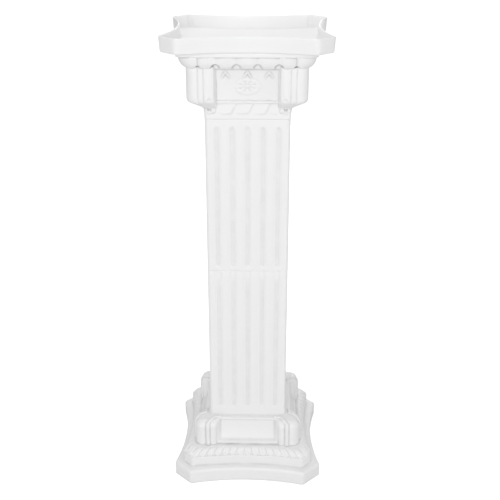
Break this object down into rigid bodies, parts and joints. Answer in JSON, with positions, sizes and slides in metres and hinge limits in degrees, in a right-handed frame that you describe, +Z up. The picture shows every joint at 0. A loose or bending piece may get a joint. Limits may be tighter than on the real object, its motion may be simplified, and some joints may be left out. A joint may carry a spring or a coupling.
{
  "type": "pedestal column stand",
  "caption": "White moulded pedestal of square plan: waisted foot, lobed base, fluted shaft, egg-moulded capital and a shallow tray for a flower pot, in stacking hollow sections.",
  "frame": {"origin": "on the floor, under the middle of the base", "axes": "+Z up along the column's axis, -Y towards the viewer, +X to the right; the four sides are alike"},
  "size_m": [0.2984, 0.2984, 0.8955],
  "materials": {
    "column_white": "satin moulded polyethylene, soft edges, faint flow marks and parting lines",
    "tray_white": "satin moulded polyethylene, a little smoother than the column"
  },
  "bodies": {
    "base": {"base": "column_white"},
    "lower_shaft": {"lower_shaft": "column_white"},
    "upper_shaft": {"upper_shaft": "column_white"},
    "capital": {"capital": "column_white"},
    "tray": {"tray": "tray_white"}
  },
  "joints": [
    {"name": "lower_shaft_lift", "type": "slide", "parent": "base", "child": "lower_shaft", "axis": [0, 0, 1], "range_m": [0, 0.06]},
    {"name": "upper_shaft_lift", "type": "slide", "parent": "lower_shaft", "child": "upper_shaft", "axis": [0, 0, 1], "range_m": [0, 0.06]},
    {"name": "capital_lift", "type": "slide", "parent": "upper_shaft", "child": "capital", "axis": [0, 0, 1], "range_m": [0, 0.06]},
    {"name": "tray_lift", "type": "slide", "parent": "capital", "child": "tray", "axis": [0, 0, 1], "range_m": [0, 0.04]}
  ]
}
